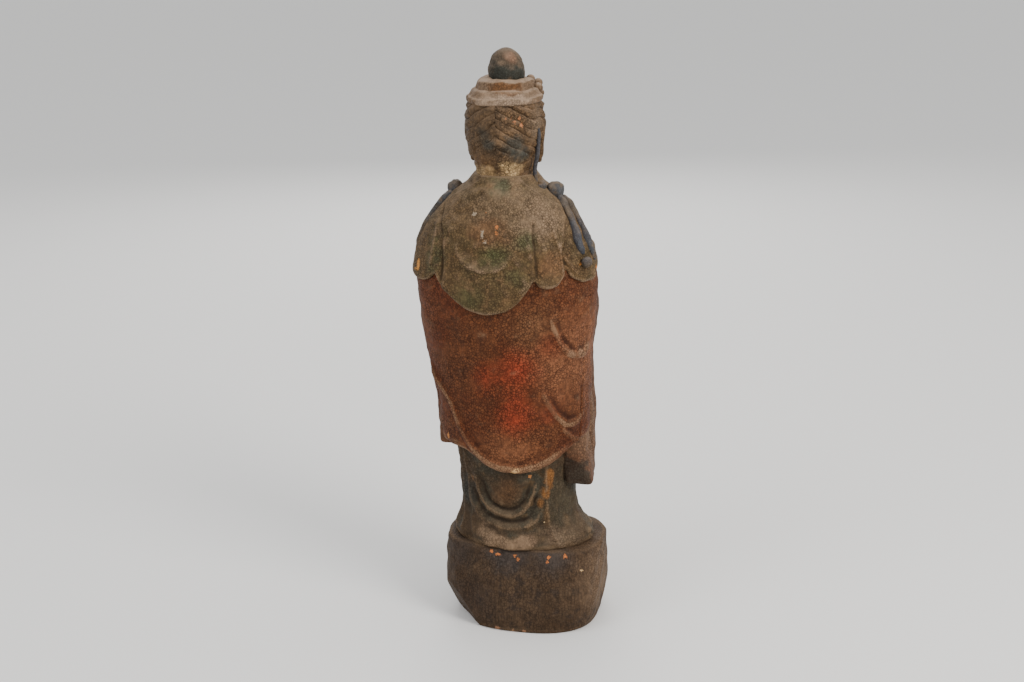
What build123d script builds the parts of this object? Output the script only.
from build123d import *
import math
import os

# A standing robed figure, carved in wood in several blocks, joined with tenons and
# dowels, and set on a rough-hewn oval pedestal. Millimetres, +Z up. The origin is the
# centre of the pedestal's underside. The figure faces -Y, so its own left side is +X.
# The trunk is the main block: the robe, the mantle over it and the shoulder cape. The
# sleeves, hands, feet, head, crown, diadem and topknot are seated on it and on each
# other, and the hair locks, knots and studs are laid on its shoulders.

# Heights of the joints, from the surface that the pedestal stands on
HEIGHT = 500.0
PEDESTAL_TOP = 76.0
MANTLE_HEM = 140.0
ELBOW_Z = 316.0
SLEEVE_TOP = 318.0
NECK_JOINT = 395.0
HEAD_TOP = 457.0
CROWN_STEP = 467.0
CROWN_TOP = 475.0

# The hand-carved figure stands a little to its left and to the back of the pedestal
LEAN_X = 10.0
HEAD_X = 13.0
FOOT_X = 4.0
SET_BACK = 4.0

# Pedestal: half sizes of its oval plan, and how square the plan is (2 is an ellipse)
PEDESTAL_HALF_X = 70.0
PEDESTAL_HALF_Y = 57.0
PEDESTAL_SQUARE = 2.7
FACET_CENTRE = (78.0, 62.0, -6.0)
FACET_TURN = (38.0, -38.0, 0.0)
FACET_SIDE = 60.0

# Sleeves: the rebates in the trunk's sides that the sleeve blocks are glued into
REBATE_X = 40.0
REBATE_Y = 20.0
LEFT_SLEEVE_END = 158.0
RIGHT_SLEEVE_END = 124.0

# Hands, held palm to palm in front of the chest
PALM_Y = -66.0
WRIST_X = 13.0
WRIST_Z = 308.0
HAND_BOTTOM = 297.0
HAND_TOP = 356.0

# Feet: the toes that show under the front hem
FOOT_SPREAD = 17.0
FOOT_Y = -27.0
FOOT_HEEL_Y = -20.0
FOOT_PEG_Y = -33.0

# Tenons and dowels, all glued line to line in their holes
NECK_TENON_R = 13.0
NECK_TENON_DEPTH = 34.0
NECK_PIN_R = 3.0
NECK_PIN_Z = 378.0
PEDESTAL_PEG_R = 7.0
PEDESTAL_PEG_X = 24.0
PEDESTAL_PEG_DEPTH = 22.0
SLEEVE_PEG_R = 4.0
SLEEVE_PEG_DEPTH = 13.0
SLEEVE_PEG_SPOTS = ((-6.0, 205.0), (-4.0, 285.0))
HAND_PEG_R = 3.0
FOOT_PEG_R = 2.5
FOOT_PEG_DEPTH = 12.0
DIADEM_PEG_R = 1.5
DIADEM_PEG_X = 15.0
TOPKNOT_PEG_R = 4.0
TOPKNOT_PEG_DEPTH = 12.0

# Hair locks, knots and studs on the shoulders, turned in degrees from the left side
LOCK_R = 3.6
LOCK_LIFT = 1.2
LOCK_HEIGHTS = (366.0, 356.0, 346.0, 336.0)
LEFT_LOCK_TURNS = (14.0, 2.0)
RIGHT_LOCK_TURNS = (156.0, 168.0)
KNOT_R = 6.5
KNOT_Z = 380.0
KNOT_TURNS = (8.0, 172.0)
STUD_R = 5.0
STUD_RISE = 3.5
STUD_Z = 325.0
STUD_TURNS = (8.0, 160.0)

REACH = 120.0
OVAL_POINTS = 16


def oval(z, half_x, half_y, x=LEAN_X, y=SET_BACK, square=2.0):
    """A level superellipse face; square is its exponent, and 2 is a plain ellipse."""
    points = []
    for i in range(OVAL_POINTS):
        turn = 2 * math.pi * i / OVAL_POINTS
        c, s = math.cos(turn), math.sin(turn)
        reach = (abs(c) ** square + abs(s) ** square) ** (-1 / square)
        points.append((x + half_x * reach * c, y + half_y * reach * s, z))
    return make_face(Spline(*points, periodic=True))


def stack(*sections):
    """One smooth solid through level ovals, each given as the arguments of oval."""
    return loft([oval(*section) for section in sections])


def rod(start, end, radius):
    """A round dowel from start to end."""
    axis = Vector(*end) - Vector(*start)
    return extrude(Plane(origin=start, z_dir=axis) * Circle(radius), axis.length)


def limb(start, end, radius_start, radius_end):
    """A round limb that tapers from start to end."""
    axis = Vector(*end) - Vector(*start)
    first = Plane(origin=start, z_dir=axis) * Circle(radius_start)
    last = Plane(origin=end, z_dir=axis) * Circle(radius_end)
    return loft([first, last])


def span_box(x_range, y_range, z_range):
    """A box between two values on each axis."""
    ranges = (x_range, y_range, z_range)
    centre = [(high + low) / 2 for low, high in ranges]
    return Pos(*centre) * Box(*[high - low for low, high in ranges])


def beside(side, near, far):
    """The x range from near to far beside the figure's centre line, on one side."""
    return tuple(sorted((LEAN_X + side * near, LEAN_X + side * far)))


def all_y_z(x_range):
    """A slab of everything in an x range."""
    return span_box(x_range, (-REACH, REACH), (0, HEIGHT))


def largest(shape):
    """The largest solid of a cut shape, without any sliver that the cut left."""
    return max(shape.solids(), key=lambda solid: solid.volume)


# Pedestal: an oval block with a narrower foot, a rounded shoulder and one adzed facet
def make_pedestal():
    def level(z, inset):
        half_x, half_y = PEDESTAL_HALF_X - inset, PEDESTAL_HALF_Y - inset
        return (z, half_x, half_y, 0, 0, PEDESTAL_SQUARE)

    block = stack(
        level(0, 6),
        level(PEDESTAL_TOP * 0.2, 2),
        level(PEDESTAL_TOP * 0.4, 0),
        level(PEDESTAL_TOP * 0.6, 0),
        level(PEDESTAL_TOP * 0.8, 1),
        level(PEDESTAL_TOP * 0.93, 4),
        level(PEDESTAL_TOP, 11),
    )
    facet = Pos(*FACET_CENTRE) * Rot(*FACET_TURN) * Box(FACET_SIDE, FACET_SIDE, FACET_SIDE)
    return block - facet


# Robe: the under-robe from its spread hem up to where it goes under the mantle
def make_robe():
    return stack(
        (PEDESTAL_TOP, 62, 42, FOOT_X),
        (PEDESTAL_TOP + 7, 60, 43, FOOT_X),
        (PEDESTAL_TOP + 18, 52, 40, FOOT_X + 1),
        (PEDESTAL_TOP + 38, 48, 38, FOOT_X + 2),
        (PEDESTAL_TOP + 58, 47, 37, FOOT_X + 3),
        (PEDESTAL_TOP + 78, 47, 37, FOOT_X + 4),
    )


# Shoulders of the mantle, with the cape: height, half sizes and centre of each oval
SHOULDERS = (
    (ELBOW_Z, 77.5, 52, LEAN_X + 2),
    (336, 74, 49, LEAN_X + 2),
    (356, 66, 45, LEAN_X + 1),
    (374, 51, 39, LEAN_X),
    (386, 38, 33, LEAN_X),
    (NECK_JOINT, 26, 27, LEAN_X + 2),
)


# Mantle: from its hem to the elbows, then the shoulders and cape up to the neck joint
def make_mantle():
    below_elbow = stack(
        (MANTLE_HEM, 63, 46, FOOT_X + 4),
        (175, 68, 49, FOOT_X + 4),
        (210, 70, 50, LEAN_X - 1),
        (245, 71.5, 50, LEAN_X),
        (280, 75, 51, LEAN_X + 2),
        (ELBOW_Z, 77.5, 52, LEAN_X + 2),
    )
    return below_elbow + stack(*SHOULDERS)


def on_shoulder(z, turn, lift):
    """A point near the mantle above the elbows, turned in degrees from the left side."""
    for low, high in zip(SHOULDERS, SHOULDERS[1:]):
        if low[0] <= z <= high[0]:
            share = (z - low[0]) / (high[0] - low[0])
            half_x, half_y, x = [a + (b - a) * share for a, b in zip(low[1:], high[1:])]
            break
    angle = math.radians(turn)
    across = x + (half_x + lift) * math.cos(angle)
    return Vector(across, SET_BACK + (half_y + lift) * math.sin(angle), z)


def rebate(side, end):
    """The space cut from the trunk's side for a sleeve block that ends at height end."""
    x_range = beside(side, REBATE_X, REACH)
    return span_box(x_range, (-REACH, REBATE_Y), (end, SLEEVE_TOP))


# Sleeve: it fills the rebate, hangs in front of it, and has the forearm and its cuff
def make_sleeve(side, end, body):
    hanging = stack(
        (end, 12, 34, LEAN_X + side * 55, -10, 2.4),
        (end + (SLEEVE_TOP - end) * 0.33, 16, 41, LEAN_X + side * 53, -13, 2.3),
        (end + (SLEEVE_TOP - end) * 0.67, 23, 47, LEAN_X + side * 46, -16, 2.2),
        (SLEEVE_TOP, 32, 50, LEAN_X + side * 40, -18, 2.1),
    )
    elbow = (LEAN_X + side * 54, -30, 298)
    cuff = (LEAN_X + side * (WRIST_X - 4), PALM_Y + 5, WRIST_Z)
    forearm = limb(elbow, cuff, 19, 14)
    allowed = span_box(beside(side, WRIST_X, REACH), (-REACH, REBATE_Y), (end, SLEEVE_TOP))
    in_front = (hanging + forearm - body) & allowed
    return largest((body & rebate(side, end)) + in_front)


# Hand: half of the pair, flat on the palm, fingers up, with its thumb
def make_hand(side):
    palm = stack(
        (HAND_BOTTOM, 11, 12, LEAN_X, PALM_Y + 2),
        (HAND_BOTTOM + 15, 12, 12.5, LEAN_X, PALM_Y + 1),
        (HAND_BOTTOM + 30, 11, 12, LEAN_X, PALM_Y),
        (HAND_BOTTOM + 45, 7.5, 9.5, LEAN_X, PALM_Y),
        (HAND_TOP, 3, 4, LEAN_X, PALM_Y),
    )
    thumb_root = (LEAN_X + side * 5, PALM_Y + 8, HAND_BOTTOM + 14)
    thumb_tip = (LEAN_X + side * 4, PALM_Y + 12, HAND_BOTTOM + 36)
    thumb = limb(thumb_root, thumb_tip, 4.6, 3.0)
    return (palm + thumb) & all_y_z(beside(side, 0, WRIST_X))


# Foot: a low rounded block, cut flat where it butts against the trunk's rebate
def make_foot(side):
    x = FOOT_X + side * FOOT_SPREAD
    foot = stack(
        (PEDESTAL_TOP, 12, 18, x, FOOT_Y, 2.4),
        (PEDESTAL_TOP + 6, 11.5, 17, x, FOOT_Y + 1, 2.4),
        (PEDESTAL_TOP + 12, 8, 12, x, FOOT_Y + 3, 2.2),
    )
    return foot & span_box((-REACH, REACH), (-REACH, FOOT_HEEL_Y), (0, HEIGHT))


# Head: neck, skull and long-lobed ears, with the round tenon below the neck
def make_head():
    head = stack(
        (NECK_JOINT, 25, 25, LEAN_X + 2, 3),
        (405, 24, 25, HEAD_X, 2),
        (415, 28, 33, HEAD_X, -1),
        (425, 31, 36, HEAD_X, -1),
        (436, 32.5, 37, HEAD_X, -1),
        (447, 32, 36.5, HEAD_X, 0),
        (HEAD_TOP, 29, 33, HEAD_X, 1),
    )
    for side in (-1, 1):
        head += stack(
            (403, 2.5, 3.5, HEAD_X + side * 30, -2),
            (415, 4, 5, HEAD_X + side * 31, -2),
            (428, 4, 6, HEAD_X + side * 32, -2),
            (441, 2.5, 4, HEAD_X + side * 31.5, -2),
        )
    tenon_end = (LEAN_X, SET_BACK, NECK_JOINT - NECK_TENON_DEPTH)
    tenon_top = (LEAN_X, SET_BACK, NECK_JOINT + 1)
    return head + rod(tenon_end, tenon_top, NECK_TENON_R)


# Crown: the stepped band of hair on the flat top of the head
def make_crown():
    lower = stack(
        (HEAD_TOP, 31.5, 36, HEAD_X, 0),
        (HEAD_TOP + 4, 30.5, 35, HEAD_X, 0),
        (CROWN_STEP, 26, 30, HEAD_X, 1),
    )
    upper = stack(
        (CROWN_STEP, 24.5, 28, HEAD_X - 1, 1),
        (CROWN_STEP + 4, 24, 27.5, HEAD_X - 1, 1),
        (CROWN_TOP, 19, 22, LEAN_X + 1, 2),
    )
    return lower + upper


# Diadem: a curved plaque in front of the crown, with a crest of five round leaves
def make_diadem(crown):
    leaves = span_box((-REACH, REACH), (-REACH, -6), (HEAD_TOP, HEAD_TOP + 12))
    for x, radius, crest in ((0, 9, 22), (-16, 7, 19), (16, 7, 19), (-28, 5.5, 16), (28, 5.5, 16)):
        centre = (HEAD_X + x, -REACH / 2, HEAD_TOP + crest - radius)
        leaves += rod(centre, (centre[0], -6, centre[2]), radius)
    ring_height = HEAD_TOP + 40
    outer = stack((HEAD_TOP, 35, 40, HEAD_X, 0), (ring_height, 35, 40, HEAD_X, 0))
    inner = stack((HEAD_TOP, 31, 35.5, HEAD_X, 0), (ring_height, 31, 35.5, HEAD_X, 0))
    return largest((outer - inner - crown) & leaves)


# Topknot: a round bun of hair with a flat foot
def make_topknot():
    return stack(
        (CROWN_TOP, 15, 16, LEAN_X, 2),
        (CROWN_TOP + 7, 15.5, 16.5, LEAN_X, 2),
        (CROWN_TOP + 14, 14, 15, LEAN_X, 2),
        (CROWN_TOP + 21, 9.5, 10.5, LEAN_X, 2),
        (HEIGHT, 2.5, 3, LEAN_X, 2),
    )


# Hair lock: two rolls side by side over the shoulder and down the arm to the elbow,
# with flat backs that are bedded on the trunk
def make_lock(turns, body):
    rolls = []
    for turn in turns:
        points = [on_shoulder(z, turn, LOCK_LIFT) for z in LOCK_HEIGHTS]
        roll = Pos(*points[0]) * Sphere(LOCK_R)
        for start, end in zip(points, points[1:]):
            roll += rod(start, end, LOCK_R) + Pos(*end) * Sphere(LOCK_R)
        rolls.append(largest(roll - body))
    return Compound(rolls)


# Knots: two round bosses on top of the shoulders
def make_knots(body):
    knots = [Pos(on_shoulder(KNOT_Z, turn, 2)) * Sphere(KNOT_R) for turn in KNOT_TURNS]
    return Compound([largest(knot - body) for knot in knots])


# Studs: two short turned buttons that stand on the mantle at the elbows
def make_studs(body):
    studs = []
    for turn in STUD_TURNS:
        start, end = [on_shoulder(STUD_Z, turn, lift) for lift in (-4, STUD_RISE)]
        studs.append(largest(rod(start, end, STUD_R) - body))
    return Compound(studs)


def pair_of_rods(spots, radius):
    """Two or more dowels in one node; each spot is a start and an end."""
    return Compound([rod(start, end, radius) for start, end in spots])


def cut(shape, *tools):
    """The shape with the tools taken out of it."""
    for tool in tools:
        shape = shape - tool
    return largest(shape)


def main():
    os.makedirs("parts", exist_ok=True)

    body = make_robe() + make_mantle()
    sleeve_pegs, hand_pegs, foot_spots = {}, {}, []
    for name, side in (("left", 1), ("right", -1)):
        near = LEAN_X + side * (REBATE_X - SLEEVE_PEG_DEPTH)
        far = LEAN_X + side * (REBATE_X + SLEEVE_PEG_DEPTH)
        spots = [((near, y, z), (far, y, z)) for y, z in SLEEVE_PEG_SPOTS]
        sleeve_pegs[name] = pair_of_rods(spots, SLEEVE_PEG_R)
        palm_end = (LEAN_X + side * (WRIST_X - 8), PALM_Y + 3, WRIST_Z)
        cuff_end = (LEAN_X + side * (WRIST_X + 12), PALM_Y + 3, WRIST_Z)
        hand_pegs[name] = rod(palm_end, cuff_end, HAND_PEG_R)
        foot_x = FOOT_X + side * FOOT_SPREAD
        bottom = (foot_x, FOOT_PEG_Y, PEDESTAL_TOP - FOOT_PEG_DEPTH)
        foot_spots.append((bottom, (foot_x, FOOT_PEG_Y, PEDESTAL_TOP + 8)))
    foot_pegs = pair_of_rods(foot_spots, FOOT_PEG_R)
    pedestal_pegs = pair_of_rods(
        [
            (
                (FOOT_X + x, SET_BACK, PEDESTAL_TOP - PEDESTAL_PEG_DEPTH),
                (FOOT_X + x, SET_BACK, PEDESTAL_TOP + PEDESTAL_PEG_DEPTH),
            )
            for x in (-PEDESTAL_PEG_X, PEDESTAL_PEG_X)
        ],
        PEDESTAL_PEG_R,
    )

    feet = {name: make_foot(side) for name, side in (("left", 1), ("right", -1))}
    head = make_head()
    neck_pin = rod((LEAN_X, -16, NECK_PIN_Z), (LEAN_X, REACH, NECK_PIN_Z), NECK_PIN_R) & body
    topknot_peg = rod(
        (LEAN_X, 2, HEAD_TOP - TOPKNOT_PEG_DEPTH),
        (LEAN_X, 2, CROWN_TOP + TOPKNOT_PEG_DEPTH),
        TOPKNOT_PEG_R,
    )
    crown = cut(make_crown(), topknot_peg)
    diadem_pegs = pair_of_rods(
        [
            ((HEAD_X + x, -24, HEAD_TOP + 5), (HEAD_X + x, -34, HEAD_TOP + 5))
            for x in (-DIADEM_PEG_X, DIADEM_PEG_X)
        ],
        DIADEM_PEG_R,
    )

    ends = {"left": (1, LEFT_SLEEVE_END), "right": (-1, RIGHT_SLEEVE_END)}
    rebates = [rebate(side, end) for side, end in ends.values()]
    trunk = cut(body, *rebates, *feet.values(), *pedestal_pegs.solids(), head, neck_pin)
    parts = {
        "pedestal": cut(make_pedestal(), *pedestal_pegs.solids(), *foot_pegs.solids()),
        "pedestal_pegs": pedestal_pegs,
        "trunk": cut(trunk, *sleeve_pegs["left"].solids(), *sleeve_pegs["right"].solids()),
        "head": cut(head, neck_pin, topknot_peg),
        "neck_pin": neck_pin,
        "crown": cut(crown, *diadem_pegs.solids()),
        "diadem": cut(make_diadem(make_crown()), *diadem_pegs.solids()),
        "diadem_pegs": diadem_pegs,
        "topknot": cut(make_topknot(), topknot_peg),
        "topknot_peg": topknot_peg,
        "foot_pegs": foot_pegs,
        "left_lock": make_lock(LEFT_LOCK_TURNS, body),
        "right_lock": make_lock(RIGHT_LOCK_TURNS, body),
        "shoulder_knots": make_knots(body),
        "elbow_studs": make_studs(body),
    }
    for name, (side, end) in ends.items():
        sleeve = make_sleeve(side, end, body)
        pegs = sleeve_pegs[name].solids()
        parts[f"{name}_sleeve"] = cut(sleeve, *pegs, hand_pegs[name])
        parts[f"{name}_sleeve_pegs"] = sleeve_pegs[name]
        parts[f"{name}_hand"] = cut(make_hand(side), hand_pegs[name])
        parts[f"{name}_hand_peg"] = hand_pegs[name]
        parts[f"{name}_foot"] = cut(feet[name], *foot_pegs.solids())
    for name, shape in parts.items():
        export_step(shape, f"parts/{name}.step")


main()
